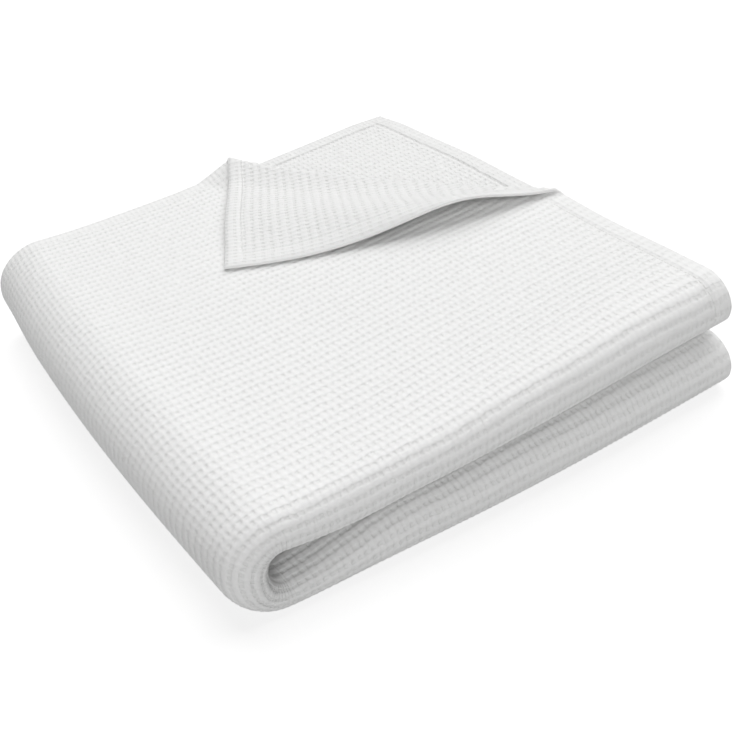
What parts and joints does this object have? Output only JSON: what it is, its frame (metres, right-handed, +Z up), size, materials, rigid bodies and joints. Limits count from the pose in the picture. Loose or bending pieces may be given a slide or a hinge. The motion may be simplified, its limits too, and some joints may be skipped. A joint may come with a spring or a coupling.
{
  "type": "folded waffle weave cotton blanket",
  "caption": "White waffle weave cotton blanket with hemmed edges, folded to a flat rectangular stack with one top corner turned back.",
  "frame": {"origin": "on the surface that the stack rests on, under the middle of its plan", "axes": "+X from the spine fold to the open end, +Y from the rolled edges to the back edge, +Z up"},
  "size_m": [0.4704, 0.5224, 0.1297],
  "materials": {
    "cotton": "matt white waffle weave cotton"
  },
  "bodies": {
    "root": {"blanket": "cotton"}
  },
  "joints": []
}
